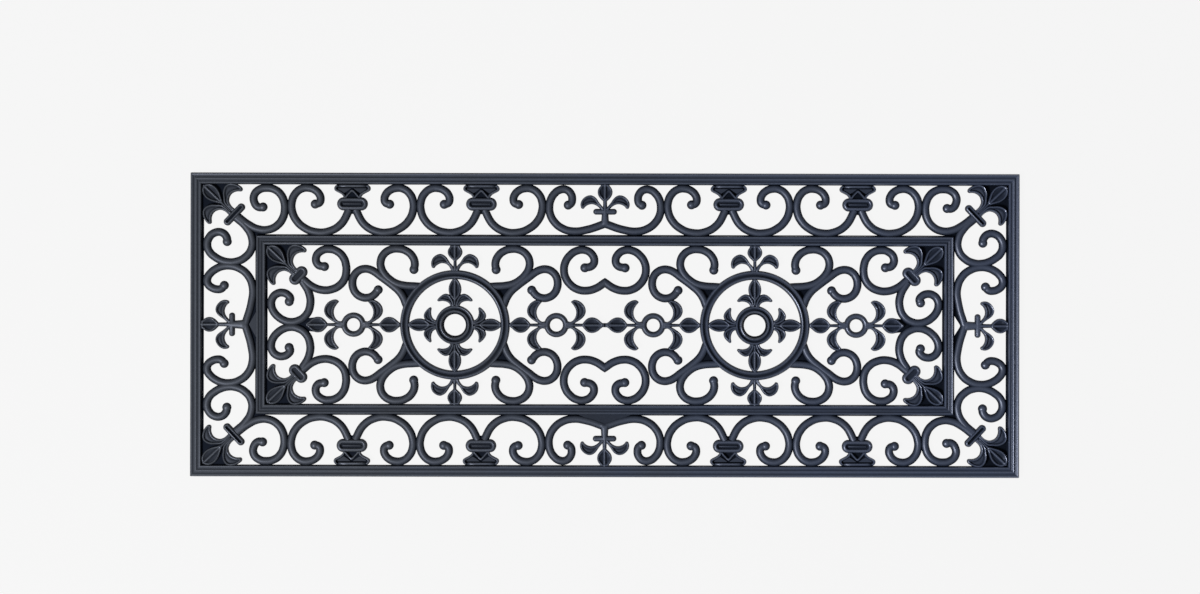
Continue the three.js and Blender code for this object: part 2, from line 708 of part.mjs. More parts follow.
// Short bands, and the medallions with what surrounds them
const side_fleur_solid = bandFleur(side_fleur_scroll, side_fleur_half, side_bar_inset, end_band_width);
const ring_solid = medallionRing();
const hub_solid = medallionHub();
const crown_solid = crownFleur();
const outer_rosette = rosette(rosette_reach);
const inner_rosette = rosette(medallion_x - rosette_offset - seam / 2);
for (const [end, side] of [['left', -1], ['right', 1]]) {
  addNode(`side_fleur_${end}`, side_fleur_solid, side * inner_x, 0, -90 * side);
  addNode(`medallion_ring_${end}`, ring_solid, side * medallion_x, 0);
  addNode(`medallion_hub_${end}`, hub_solid, side * medallion_x, 0);
  addNode(`rosette_outer_${end}`, outer_rosette, side * (medallion_x + rosette_offset), 0,
    side > 0 ? 0 : 180);
  addNode(`rosette_inner_${end}`, inner_rosette, side * (medallion_x - rosette_offset), 0,
    side > 0 ? 180 : 0);
  for (const [row, turn] of [['top', 0], ['bottom', 180]]) {
    addNode(`crown_fleur_${row}_${end}`, crown_solid, side * medallion_x, 0, turn);
    const up = turn === 0 ? 1 : -1;
    for (const [where, outward] of [['outer', 1], ['inner', -1]]) {
      addNode(`medallion_scrolls_${row}_${end}_${where}`, medallionScrolls(side * outward * up),
        side * medallion_x, 0, turn);
    }
  }
}

export default mat;
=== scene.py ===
"""Rubber door mat: the moulded detail and the black rubber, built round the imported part."""

import math

import bpy
from mathutils import Matrix, Vector


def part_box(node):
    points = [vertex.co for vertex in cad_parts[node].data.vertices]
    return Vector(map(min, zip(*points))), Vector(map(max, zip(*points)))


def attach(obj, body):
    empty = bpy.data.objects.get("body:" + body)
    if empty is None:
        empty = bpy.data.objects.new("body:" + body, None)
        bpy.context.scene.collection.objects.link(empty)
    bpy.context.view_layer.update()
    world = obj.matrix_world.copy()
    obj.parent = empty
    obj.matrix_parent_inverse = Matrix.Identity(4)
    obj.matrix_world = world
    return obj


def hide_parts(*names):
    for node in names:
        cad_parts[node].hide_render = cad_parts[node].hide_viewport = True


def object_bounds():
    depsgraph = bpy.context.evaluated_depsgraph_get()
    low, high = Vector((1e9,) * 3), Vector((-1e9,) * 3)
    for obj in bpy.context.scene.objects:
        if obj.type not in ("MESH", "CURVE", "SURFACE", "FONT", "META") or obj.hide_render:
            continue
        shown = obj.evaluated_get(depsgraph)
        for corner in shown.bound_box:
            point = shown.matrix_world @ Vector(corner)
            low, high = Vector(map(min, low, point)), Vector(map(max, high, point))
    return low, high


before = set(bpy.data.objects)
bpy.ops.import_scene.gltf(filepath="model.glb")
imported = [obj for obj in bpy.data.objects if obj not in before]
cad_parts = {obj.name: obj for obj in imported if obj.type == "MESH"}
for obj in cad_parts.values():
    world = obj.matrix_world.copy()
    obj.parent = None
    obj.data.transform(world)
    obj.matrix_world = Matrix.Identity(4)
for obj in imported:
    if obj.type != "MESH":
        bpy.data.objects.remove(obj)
cad_low, cad_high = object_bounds()

# Camera. It hangs straight over the mat, turned an eighth of a degree, as the photograph was
# taken. The mat lies a little to the right of the picture's middle and a little below it.
bpy.ops.object.select_all(action="DESELECT")
bpy.ops.object.camera_add(location=(-0.0071, 0.0408, 4.105), rotation=(0, 0, 0.0022))
camera = bpy.context.object
camera.name = "camera"
camera.data.lens = 85
camera.data.sensor_width = 36
bpy.context.scene.camera = camera
bpy.context.scene.view_settings.view_transform = "Standard"


# Floor and light. The mat lies on a plain pale floor that keeps a faint shadow of it. One broad
# lamp stands low at the near left, and the pale room fills the shadows.
def linear(hex_colour):
    """An sRGB hex colour as linear red, green, blue and alpha."""
    channels = [int(hex_colour[start:start + 2], 16) / 255 for start in (1, 3, 5)]
    return [c / 12.92 if c <= 0.04045 else ((c + 0.055) / 1.055) ** 2.4 for c in channels] + [1]


def add_node(tree, kind, settings=None, links=None):
    """A shader node with its settings, and its inputs linked to or set from links."""
    node = tree.nodes.new(kind)
    for name, value in (settings or {}).items():
        setattr(node, name, value)
    for name, value in (links or {}).items():
        if isinstance(value, bpy.types.NodeSocket):
            tree.links.new(value, node.inputs[name])
        else:
            node.inputs[name].default_value = value
    return node


floor_drop = 0.0003
bpy.ops.mesh.primitive_plane_add(size=7, location=(0, 0, 0))
floor = bpy.context.object
floor.name = "floor"
bpy.ops.object.mode_set(mode="EDIT")
bpy.ops.mesh.subdivide(number_cuts=3)
bpy.ops.transform.translate(value=(0, 0, -floor_drop))
bpy.ops.object.mode_set(mode="OBJECT")
pale_floor = bpy.data.materials.new("pale_floor")
pale_floor.use_nodes = True
tree = pale_floor.node_tree
tree.nodes.clear()
light_path = add_node(tree, "ShaderNodeLightPath")
seen_or_mirrored = add_node(tree, "ShaderNodeMath", {"operation": "MAXIMUM"},
                            {0: light_path.outputs["Is Camera Ray"],
                             1: light_path.outputs["Is Glossy Ray"]})
shown = add_node(tree, "ShaderNodeMath", {"operation": "MAXIMUM"},
                 {0: seen_or_mirrored.outputs[0],
                  1: light_path.outputs["Is Transmission Ray"]})
glow_share = 0.94
share = add_node(tree, "ShaderNodeMath", {"operation": "MULTIPLY"},
                 {0: shown.outputs[0], 1: glow_share})
matt = add_node(tree, "ShaderNodeBsdfDiffuse", {}, {"Color": linear("#9C9C9C")})
glow = add_node(tree, "ShaderNodeEmission", {}, {"Color": linear("#FAFAFA"), "Strength": 1.0})
mixed = add_node(tree, "ShaderNodeMixShader", {},
                 {0: share.outputs[0], 1: matt.outputs[0], 2: glow.outputs[0]})
add_node(tree, "ShaderNodeOutputMaterial", {}, {"Surface": mixed.outputs[0]})
floor.data.materials.append(pale_floor)

lamp_distance = 3.2
lamp_turn = math.radians(213)
lamp_rise = math.radians(50)
lamp_place = Vector((math.cos(lamp_turn) * math.cos(lamp_rise),
                     math.sin(lamp_turn) * math.cos(lamp_rise),
                     math.sin(lamp_rise))) * lamp_distance
bpy.ops.object.light_add(type="AREA", location=lamp_place,
                         rotation=lamp_place.to_track_quat("Z", "Y").to_euler())
lamp = bpy.context.object
lamp.name = "broad_lamp"
lamp.data.shape = "DISK"
lamp.data.size = 1.0
lamp.data.energy = 105

room = bpy.data.worlds.new("pale_room")
bpy.context.scene.world = room
room.use_nodes = True
tree = room.node_tree
tree.nodes.clear()
light_path = add_node(tree, "ShaderNodeLightPath")
fill = add_node(tree, "ShaderNodeBackground", {}, {"Color": linear("#FFFFFF"), "Strength": 0.19})
backdrop = add_node(tree, "ShaderNodeBackground", {}, {"Color": linear("#F6F6F6"), "Strength": 1.0})
mixed = add_node(tree, "ShaderNodeMixShader", {},
                 {0: light_path.outputs["Is Camera Ray"], 1: fill.outputs[0],
                  2: backdrop.outputs[0]})
add_node(tree, "ShaderNodeOutputWorld", {}, {"Surface": mixed.outputs[0]})


# Outer rail. Four straight lengths of moulded rubber with three rounded ridges, joined at mitred
# corners whose outer edge is a little rounded. It is part of the one black rubber moulding.
def moulded_rubber():
    """Black rubber out of a steel mould: nearly black and matt, with a slight blue cast. Painted
    shade darkens the colour towards the floor, in the sunken places and down the flanks, and the
    tops are rubbed smoother. A fine stipple of the mould breaks up the shine. Over the mat's length
    the blue comes and goes, the colour grows bluer and brighter towards the right end as painted
    light, and the shine grows towards the right end."""
    patch_share = 0.8
    grain_on_rough = 0.2
    shine_on_rough = -0.05
    least_polish = 0.06
    material = bpy.data.materials.new("moulded_black_rubber")
    material.use_nodes = True
    tree = material.node_tree
    tree.nodes.clear()
    place = add_node(tree, "ShaderNodeTexCoord")
    parts = add_node(tree, "ShaderNodeSeparateXYZ", {}, {"Vector": place.outputs["Object"]})
    # Height above the floor, 5.1 to 10.1 mm: towards the floor it darkens the colour as painted
    # shade; higher up it makes the rubber smoother and shinier.
    height = add_node(tree, "ShaderNodeMapRange", {},
                      {"Value": parts.outputs["Z"], "From Min": 0.0051, "From Max": 0.0101})
    # Painted light: towards the right end the colour grows bluer and brighter, for the stronger
    # light on that end. The noise patches on top of it are the rubber's own tone, which varies at
    # random.
    along = add_node(tree, "ShaderNodeMapRange", {},
                     {"Value": parts.outputs["X"], "From Min": -0.6, "From Max": 0.55,
                      "To Min": -0.6, "To Max": 0.5})
    patches = add_node(tree, "ShaderNodeTexNoise", {},
                       {"Vector": place.outputs["Object"], "Scale": 9.0, "Detail": 3.0})
    cast = add_node(tree, "ShaderNodeMath", {"operation": "MULTIPLY_ADD", "use_clamp": True},
                    {0: patches.outputs["Fac"], 1: patch_share, 2: along.outputs[0]})
    tops = add_node(tree, "ShaderNodeMix", {"data_type": "RGBA"},
                    {"Factor": cast.outputs[0]})
    tops.inputs[6].default_value = linear("#464A51")
    # The bluer colour, made brighter as painted light for the right end's stronger light.
    tops.inputs[7].default_value = linear("#424D65")
    # Painted shade: the colour falls to near-black low down, in recesses, on webs and down the
    # flanks of bars and ridges.
    colour_with_painted_shade = add_node(tree, "ShaderNodeMix", {"data_type": "RGBA"}, {"Factor": height.outputs[0]})
    colour_with_painted_shade.inputs[6].default_value = linear("#0F141E")
    tree.links.new(tops.outputs[2], colour_with_painted_shade.inputs[7])
    grain = add_node(tree, "ShaderNodeTexNoise", {},
                     {"Vector": place.outputs["Object"], "Scale": 700.0, "Detail": 3.0,
                      "Roughness": 0.6})
    dust = add_node(tree, "ShaderNodeMapRange", {},
                    {"Value": grain.outputs["Fac"], "From Min": 0.35, "From Max": 0.7,
                     "To Min": 0.86, "To Max": 1.16})
    coloured = add_node(tree, "ShaderNodeVectorMath", {"operation": "SCALE"},
                        {0: colour_with_painted_shade.outputs[2], "Scale": dust.outputs[0]})
    gloss = add_node(tree, "ShaderNodeMapRange", {},
                     {"Value": parts.outputs["X"], "From Min": 0.05, "From Max": 0.6,
                      "To Min": 0.65, "To Max": 2.6})
    rubbed = add_node(tree, "ShaderNodeMapRange", {},
                      {"Value": height.outputs[0], "To Min": 0.62, "To Max": 0.29})
    rough = add_node(tree, "ShaderNodeMath", {"operation": "MULTIPLY_ADD"},
                     {0: grain.outputs["Fac"], 1: grain_on_rough, 2: rubbed.outputs[0]})
    rough = add_node(tree, "ShaderNodeMath", {"operation": "MULTIPLY_ADD"},
                     {0: gloss.outputs[0], 1: shine_on_rough, 2: rough.outputs[0]})
    bump = add_node(tree, "ShaderNodeBump", {},
                    {"Strength": 0.25, "Distance": 0.0002, "Height": grain.outputs["Fac"]})
    raised = add_node(tree, "ShaderNodeMath", {"operation": "MULTIPLY"},
                      {0: height.outputs[0], 1: height.outputs[0]})
    polish = add_node(tree, "ShaderNodeMath", {"operation": "MULTIPLY_ADD"},
                      {0: raised.outputs[0], 1: gloss.outputs[0],
                       2: least_polish})
    shader = add_node(tree, "ShaderNodeBsdfPrincipled", {},
                      {"Base Color": coloured.outputs[0], "Roughness": rough.outputs[0],
                       "IOR": 1.5, "Specular IOR Level": polish.outputs[0],
                       "Normal": bump.outputs[0]})
    # Painted light: the reflections are tinted blue, as under a bluish light.
    shader.inputs["Specular Tint"].default_value = linear("#E0E8FF")
    add_node(tree, "ShaderNodeOutputMaterial", {}, {"Surface": shader.outputs[0]})
    return material


rubber = moulded_rubber()


def settle(piece, node):
    """Gives a finished element its rubber and its body, and lets it stand for its node."""
    piece.name = node + "_moulding"
    piece.data.name = piece.name
    piece.data.materials.clear()
    piece.data.materials.append(rubber)
    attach(piece, "root")
    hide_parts(node)


def select_only(piece):
    """Makes this piece the active one, and the only one selected."""
    bpy.ops.object.select_all(action="DESELECT")
    piece.select_set(True)
    bpy.context.view_layer.objects.active = piece


def close_up(within):
    """Merges points closer than this, faces all sides outwards, and leaves edit mode."""
    bpy.ops.mesh.select_all(action="SELECT")
    bpy.ops.mesh.remove_doubles(threshold=within)
    bpy.ops.mesh.normals_make_consistent(inside=False)
    bpy.ops.object.mode_set(mode="OBJECT")


def ridged_rail(node, section, edge, half_span, degrees):
    """A length of rail: its section is drawn on a circle's points, pulled along, and mitred."""
    bpy.ops.object.select_all(action="DESELECT")
    bpy.ops.mesh.primitive_circle_add(vertices=len(section), fill_type="NGON")
    rail = bpy.context.object
    for vertex, (inward, up) in zip(rail.data.vertices, section):
        vertex.co = (-half_span, edge - inward, up)
    bpy.ops.object.mode_set(mode="EDIT")
    bpy.ops.mesh.select_all(action="SELECT")
    bpy.ops.mesh.extrude_region_move(TRANSFORM_OT_translate={"value": (2 * half_span, 0, 0)})
    corner_radius = 0.0025
    for end in (1, -1):
        middle = (end * (half_span - corner_radius), edge - corner_radius, 0)
        for turn in (10, 20, 30, 40):
            angle = math.radians(turn)
            outward = (end * math.sin(angle), math.cos(angle), 0)
            touch = [m + corner_radius * o for m, o in zip(middle, outward)]
            bpy.ops.mesh.select_all(action="SELECT")
            bpy.ops.mesh.bisect(plane_co=touch, plane_no=outward, use_fill=True, clear_outer=True)
        bpy.ops.mesh.select_all(action="SELECT")
        bpy.ops.mesh.bisect(plane_co=(end * half_span, edge, 0), plane_no=(end, -1, 0),
                            use_fill=True, clear_outer=True)
    close_up(within=0.00001)
    rail.data.transform(Matrix.Rotation(math.radians(degrees), 4, "Z"))
    bpy.ops.object.shade_smooth_by_angle(angle=math.radians(40))
    settle(rail, node)


# How far in from the rail's outer face, and how high, round the section from the floor. On the
# short sides a low foot runs along the inner face.
outer_section = [(0, 0), (0.0001, 0.0050), (0.0005, 0.0072), (0.0012, 0.0088), (0.0021, 0.0096),
                 (0.0030, 0.0095), (0.0039, 0.0088), (0.0048, 0.0080), (0.0056, 0.0077),
                 (0.0064, 0.0080), (0.0072, 0.0090), (0.0080, 0.0098), (0.0088, 0.0100),
                 (0.0096, 0.0096), (0.0103, 0.0087), (0.0110, 0.0079), (0.0116, 0.0077),
                 (0.0123, 0.0080), (0.0131, 0.0090), (0.0139, 0.0097), (0.0147, 0.0097),
                 (0.0155, 0.0090), (0.0162, 0.0073), (0.0167, 0.0050)]
outer_foot_long = [(0.0170, 0.0025), (0.0171, 0)]
outer_foot_short = [(0.0174, 0.0036), (0.0188, 0.0028), (0.0192, 0)]
rail_turns = {"top": 0, "right": -90, "bottom": 180, "left": 90}
for side, degrees in rail_turns.items():
    if degrees % 180 == 0:
        reach, edge, foot = cad_high.x, cad_high.y, outer_foot_long
    else:
        reach, edge, foot = cad_high.y, cad_high.x, outer_foot_short
    ridged_rail("outer_rail_" + side, outer_section + foot, edge, reach, degrees)

# Inner rail. The same rubber moulding, a little narrower: two strong ridges with a low one between
# them, mitred at the corners, and a low foot outside, on which the scrolls of the band end.
inner_section = [(-0.0011, 0), (-0.0010, 0.0022), (-0.0003, 0.0032), (0.0001, 0.0048),
                 (0.0006, 0.0072), (0.0014, 0.0090), (0.0024, 0.0097), (0.0033, 0.0094),
                 (0.0041, 0.0084), (0.0048, 0.0075), (0.0054, 0.0073), (0.0062, 0.0078),
                 (0.0070, 0.0083), (0.0078, 0.0079), (0.0085, 0.0071), (0.0091, 0.0070),
                 (0.0099, 0.0078), (0.0108, 0.0091), (0.0117, 0.0098), (0.0127, 0.0097),
                 (0.0136, 0.0087), (0.0143, 0.0066)]
inner_foot_long = [(0.0148, 0.0034), (0.0150, 0)]
inner_foot_short = [(0.0150, 0.0036), (0.0163, 0.0028), (0.0167, 0)]
inner_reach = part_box("inner_rail_right")[1].x
inner_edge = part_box("inner_rail_top")[1].y
for side, degrees in rail_turns.items():
    if degrees % 180 == 0:
        reach, edge, foot = inner_reach, inner_edge, inner_foot_long
    else:
        reach, edge, foot = inner_edge, inner_reach, inner_foot_short
    ridged_rail("inner_rail_" + side, inner_section + foot, edge, reach, degrees)

# Clasps. Eight of them bind pairs of scrolls to the outer rail: two round bars wind out of a lumpy
# collar with a ridge in its slot, and above it a flared cap with raised rims and a chevron grows
# into the rail. They are moulded in one with the rails, in the same black rubber.
mm = 0.001
rail_inside = Vector((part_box("outer_rail_right")[0].x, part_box("outer_rail_top")[0].y))
inner_outside = Vector((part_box("inner_rail_right")[1].x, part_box("inner_rail_top")[1].y))
field = Vector((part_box("inner_rail_right")[0].x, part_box("inner_rail_top")[0].y))
bar_inset = 4.4 * mm
ball_radius = 6.7 * mm
ball_height = 2.6 * mm
smooth_up_to = math.radians(42)

# Half of the bar's rounded section: how far from the middle, and how high
bar_section = [(5.9, 0), (5.85, 2.3), (5.6, 4.0), (5.1, 5.4), (4.3, 6.6), (3.2, 7.6), (1.7, 8.4),
               (0, 8.7)]
bpy.ops.object.select_all(action="DESELECT")
bpy.ops.curve.primitive_bezier_circle_add()
section_curve = bpy.context.object
section_curve.data.splines.clear()
section_line = section_curve.data.splines.new("POLY")
round_section = bar_section + [(-across, up) for across, up in bar_section[-2::-1]]
section_line.points.add(len(round_section) - 1)
for point, (across, up) in zip(section_line.points, round_section):
    point.co = (across * mm, up * mm, 0, 1)
section_line.use_cyclic_u = True


def wound(scroll, box, start=None):
    """The middle line of a scroll. It winds round its eye, its radii given at equal turns as
    shares of its box's depth; its first point goes to start, with the next few drawn after it."""
    x, y, width, depth = box
    shares = list(scroll.get("start", []))
    for index, radius in enumerate(scroll["radii"]):
        angle = math.radians(scroll["first"] + index * scroll["turn"])
        shares.append((scroll["eye"][0] + radius * math.cos(angle) / scroll["roundness"],
                       scroll["eye"][1] + radius * math.sin(angle)))
    shares += scroll["end"]
    line = [Vector((x + across * width, y + along * depth)) for across, along in shares]
    shift = (Vector(start) - line[0]) if start else Vector((0, 0))
    drawn = 5
    return [point + max(0.0, 1 - index / drawn) * shift for index, point in enumerate(line)]


def fair(line):
    """The same line with its bends evened out."""
    inside = [(line[i - 1] + 4 * line[i] + line[i + 1]) / 6 for i in range(1, len(line) - 1)]
    return [line[0]] + inside + [line[-1]]


def trim(piece, place, outward):
    """Takes away what lies past a flat cut, and closes the piece there."""
    select_only(piece)
    bpy.ops.object.mode_set(mode="EDIT")
    bpy.ops.mesh.select_all(action="SELECT")
    bpy.ops.mesh.bisect(plane_co=place, plane_no=outward, use_fill=True, clear_outer=True)
    close_up(within=0.000001)


def round_bar(line):
    """A bar along a line: a curve that carries the rounded section, with a ball at its far end."""
    bpy.ops.object.select_all(action="DESELECT")
    bpy.ops.curve.primitive_bezier_curve_add()
    bar = bpy.context.object
    spline = bar.data.splines[0]
    spline.bezier_points.add(len(line) - 2)
    for point, place in zip(spline.bezier_points, line):
        point.co = (place[0], place[1], 0)
        point.handle_left_type = point.handle_right_type = "AUTO"
    bar.data.dimensions = "2D"
    bar.data.resolution_u = 8
    bar.data.bevel_mode = "OBJECT"
    bar.data.bevel_object = section_curve
    bar.data.use_fill_caps = True
    bar.data.fill_mode = "BOTH"
    bpy.ops.object.convert(target="MESH")
    bar = bpy.context.object
    bpy.ops.object.mode_set(mode="EDIT")
    close_up(within=0.000002)
    bpy.ops.object.select_all(action="DESELECT")
    bpy.ops.mesh.primitive_uv_sphere_add(segments=28, ring_count=16, radius=ball_radius,
                                         location=(line[-1][0], line[-1][1], ball_height))
    bpy.ops.object.transform_apply(location=True, rotation=True, scale=True)
    ball = bpy.context.object
    trim(ball, (0, 0, 0), (0, 0, -1))
    return [bar, ball]


def longer(line, run):
    """The line with a straight run put before its first point."""
    return [line[0] + run * mm * (line[0] - line[1]).normalized()] + line


def twin(piece, move=Matrix.Identity(4)):
    """A copy of a piece with its own mesh, moved, turned or mirrored."""
    mesh = piece.data.copy()
    mesh.transform(move)
    if move.determinant() < 0:
        mesh.flip_normals()
    copy = bpy.data.objects.new(piece.name, mesh)
    bpy.context.scene.collection.objects.link(copy)
    return copy


across_axis = Matrix.Scale(-1, 4, (1, 0, 0))


def mirrored(pieces):
    """Copies of the pieces on the other side of the motif's axis."""
    return [twin(piece, across_axis) for piece in pieces]


def fused(pieces):
    """One closed moulding out of overlapping closed forms."""
    whole, rest = pieces[0], pieces[1:]
    for piece in rest:
        select_only(whole)
        joint = whole.modifiers.new("fused", "BOOLEAN")
        joint.operation = "UNION"
        joint.solver = "MANIFOLD"
        joint.object = piece
        bpy.ops.object.modifier_apply(modifier=joint.name)
        bpy.data.objects.remove(piece)
    select_only(whole)
    bpy.ops.object.mode_set(mode="EDIT")
    bpy.ops.mesh.select_all(action="SELECT")
    bpy.ops.mesh.remove_doubles(threshold=0.00001)
    bpy.ops.object.mode_set(mode="OBJECT")
    bpy.ops.object.shade_smooth_by_angle(angle=smooth_up_to)
    return whole


def copy_to(master, node, x=0.0, y=0.0, degrees=0.0, mirror=False):
    """A copy of a finished form, mirrored, turned and put in place, that stands for its node."""
    form = twin(master, across_axis) if mirror else twin(master)
    form.data.transform(Matrix.Translation((x, y, 0))
                        @ Matrix.Rotation(math.radians(degrees), 4, "Z"))
    settle(form, node)


def height_from(table, distance):
    """The height at a distance, read off a table of points joined by straight lines."""
    for (near, low), (far, high) in zip(table, table[1:]):
        if distance <= far:
            return low + (high - low) * max(0.0, distance - near) / (far - near)
    return table[-1][1]


def smooth_line(points, steps):
    """Points on a smooth line through the given ones."""
    points = [Vector(point) for point in points]
    ends = [2 * points[0] - points[1]] + points + [2 * points[-1] - points[-2]]
    line = []
    for i in range(len(points) - 1):
        a, b, c, d = ends[i:i + 4]
        for step in range(steps):
            t = step / steps
            line.append(0.5 * ((2 * b) + (c - a) * t + (2 * a - 5 * b + 4 * c - d) * t ** 2
                               + (3 * b - a - 3 * c + d) * t ** 3))
    return line + [points[-1]]


def gap_to_outline(place, outline):
    """How far a place is from the nearest side of a closed outline."""
    nearest = 1.0
    for start, end in zip(outline, outline[1:] + outline[:1]):
        side = end - start
        length = side.length_squared
        share = 0.0 if length < 1e-14 else max(0.0, min(1.0, (place - start).dot(side) / length))
        nearest = min(nearest, (place - start - side * share).length)
    return nearest


def relief(left, right, profile, rib=None, steps=4, columns=11):
    """A form in low relief between its two edges, which are drawn in millimetres from one
    tip to the other. profile gives the height by how far in from the outline a place is; rib adds
    a ridge by how far it is from the middle line. It is a grid pulled to that shape, walled in and
    closed underneath; its columns lie where the profile and the rib bend."""
    left = [point * mm for point in smooth_line(left, steps)]
    right = [point * mm for point in smooth_line(right, steps)]
    outline = left + right[::-1]
    edge_columns = 8 if rib else columns - 1
    near_edge = [0, 0.3, 0.7, 1.2, 1.9, 2.7, 3.3, 3.8, 4.4, 5.2, 6.6, 9.0][:edge_columns]
    near_middle = [2.9, 2.2, 1.5, 0.8, 0] if rib else [0]
    middle = len(near_edge) + len(near_middle) - 1
    width = 2 * middle + 1
    bpy.ops.object.select_all(action="DESELECT")
    bpy.ops.mesh.primitive_grid_add(x_subdivisions=width - 1, y_subdivisions=len(left) - 1, size=1)
    form = bpy.context.object
    for station, (one, other) in enumerate(zip(left, right)):
        half = (other - one).length / 2
        across = (other - one).normalized() if half > 1e-9 else Vector((0, 0))
        for column in range(width):
            step = min(column, width - 1 - column)
            inward = half * step / middle
            if step < len(near_edge):
                inward = min(near_edge[step] * mm, inward)
            else:
                inward = max(half - near_middle[step - len(near_edge)] * mm, inward)
            if column > middle:
                inward = 2 * half - inward
            place = one + across * inward
            height = height_from(profile, gap_to_outline(place, outline) / mm)
            if rib:
                height = max(height, height_from(rib, abs(half - inward) / mm))
            form.data.vertices[station * width + column].co = (place.x, place.y, height * mm)
    select_only(form)
    bpy.ops.object.mode_set(mode="EDIT")
    bpy.ops.mesh.select_all(action="SELECT")
    bpy.ops.mesh.remove_doubles(threshold=0.00002)
    bpy.ops.mesh.select_all(action="DESELECT")
    bpy.ops.mesh.select_mode(type="EDGE")
    bpy.ops.mesh.select_non_manifold()
    bpy.ops.mesh.extrude_region_move(TRANSFORM_OT_translate={"value": (0, 0, -0.001)})
    bpy.ops.transform.resize(value=(1, 1, 0), center_override=(0, 0, 0))
    bpy.ops.mesh.edge_face_add()
    bpy.ops.mesh.select_all(action="SELECT")
    bpy.ops.mesh.normals_make_consistent(inside=False)
    bpy.ops.object.mode_set(mode="OBJECT")
    return form


def on_axis(edge, profile, rib=None, steps=4, columns=11):
    """A relief that is the same on both sides of the motif's axis. edge is its +X one."""
    return relief([(-x, y) for x, y in edge], edge, profile, rib, steps, columns)


def plate(outline, height):
    """A flat plate on the floor: a circle's points set to the outline, pulled up."""
    bpy.ops.object.select_all(action="DESELECT")
    bpy.ops.mesh.primitive_circle_add(vertices=len(outline), fill_type="NGON")
    form = bpy.context.object
    for vertex, (x, y) in zip(form.data.vertices, outline):
        vertex.co = (x * mm, y * mm, 0)
    bpy.ops.object.mode_set(mode="EDIT")
    bpy.ops.mesh.select_all(action="SELECT")
    bpy.ops.mesh.extrude_region_move(TRANSFORM_OT_translate={"value": (0, 0, height * mm)})
    bpy.ops.mesh.select_all(action="SELECT")
    bpy.ops.mesh.normals_make_consistent(inside=False)
    bpy.ops.object.mode_set(mode="OBJECT")
    return form


def capsule(length, width, along, rounding, slot=None):
    """A bar with round ends, across the motif's axis: a circle pulled apart, drawn up and rounded
    over in steps. slot sinks the middle again, as steps of how far in and how high."""
    bpy.ops.object.select_all(action="DESELECT")
    bpy.ops.mesh.primitive_circle_add(vertices=36, radius=width / 2 * mm, fill_type="NGON")
    form = bpy.context.object
    for vertex in form.data.vertices:
        if abs(vertex.co.x) > 1e-6:
            vertex.co.x += math.copysign((length - width) / 2 * mm, vertex.co.x)
    bpy.ops.object.mode_set(mode="EDIT")
    bpy.ops.mesh.select_all(action="SELECT")
    bpy.ops.mesh.extrude_region_move(TRANSFORM_OT_translate={"value": (0, 0, rounding[0][1] * mm)})
    steps = rounding + (slot or [])
    for (near, low), (far, high) in zip(steps, steps[1:]):
        bpy.ops.mesh.inset(thickness=(far - near) * mm, depth=(high - low) * mm)
    close_up(within=0.000002)
    form.data.transform(Matrix.Translation((0, along * mm, 0)))
    return form


clasp_scroll = {"eye": (0.652, 0.653), "roundness": 1.386, "first": 190, "turn": 25,
                "radii": [0.826, 0.819, 0.742, 0.662, 0.596, 0.550, 0.508, 0.483, 0.458, 0.421,
                          0.355, 0.302, 0.254, 0.210, 0.170],
                "end": [(0.607, 0.629)]}
band_depth = rail_inside.y - inner_outside.y
clasp_low, clasp_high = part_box("clasp_top_right_1")
clasp_half = (clasp_high.x - clasp_low.x) / 2
clasp_box = (0, bar_inset, clasp_half - bar_inset, band_depth - 2 * bar_inset)
under_collar = (5.6 * mm, 35 * mm)
leg = round_bar(longer(fair(wound(clasp_scroll, clasp_box, under_collar)), run=2))
collar_along = 45.2
collar = capsule(length=44.6, width=19.4, along=collar_along,
                 rounding=[(0, 3.0), (0.3, 5.2), (0.9, 7.0), (1.8, 8.6), (2.8, 9.4), (4.0, 9.7),
                           (4.9, 9.3)],
                 slot=[(5.5, 8.4), (6.0, 6.9), (6.6, 6.0), (7.4, 5.8)])
slot_ridge = capsule(length=27.4, width=2.8, along=collar_along,
                     rounding=[(0, 6.6), (0.4, 7.3), (0.9, 7.7)])
cap_edge = [(22.0, 73.4), (25.0, 71.0), (26.4, 67.8), (25.6, 64.8), (23.0, 62.8), (19.4, 61.0),
            (15.8, 59.0), (13.4, 56.4), (12.4, 52)]
cap = plate(cap_edge + [(-x, y) for x, y in cap_edge[::-1]], height=4.6)
rim = [(0, 4.8), (0.2, 7.0), (0.6, 8.6), (1.1, 9.4), (3, 9.6)]
wing_edge = [(19.0, 70.2), (21.4, 69.4), (22.4, 67.6), (21.8, 66.2), (19.4, 65.0), (16.0, 63.2),
             (12.8, 61.0), (10.2, 58.2), (9.2, 52)]
wing = relief(cap_edge, wing_edge, rim, steps=3, columns=5)
top_rim = relief([(-22, 73.2), (0, 73.2), (22, 73.2)], [(-22, 68.8), (0, 68.8), (22, 68.8)],
                 rim, steps=3, columns=5)
chevron = relief([(13.2, 53.4), (6.4, 60.8), (0, 66.4), (-6.4, 60.8), (-13.2, 53.4)],
                 [(9.6, 51.8), (4.0, 58.4), (0, 62.0), (-4.0, 58.4), (-9.6, 51.8)],
                 rim, columns=5)
facet = plate([(1.6, 67.6), (7.4, 63.4), (11.6, 60.8), (20.6, 66.2), (20.2, 67.6)],
              height=7.2)
leg_web = plate([(-5, 38), (-2.8, 30.6), (2.8, 30.6), (5, 38)], height=3.4)
clasp = fused(leg + mirrored(leg) + [collar, cap, wing] + mirrored([wing])
              + [top_rim, chevron, facet, slot_ridge, leg_web] + mirrored([facet]))
rows = (("top", 1), ("bottom", -1))
for row, up in rows:
    for place in ("left_1", "left_2", "right_1", "right_2"):
        node = "clasp_%s_%s" % (row, place)
        low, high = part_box(node)
        copy_to(clasp, node, (low.x + high.x) / 2, up * inner_outside.y, 0 if up > 0 else 180)
bpy.data.objects.remove(clasp)

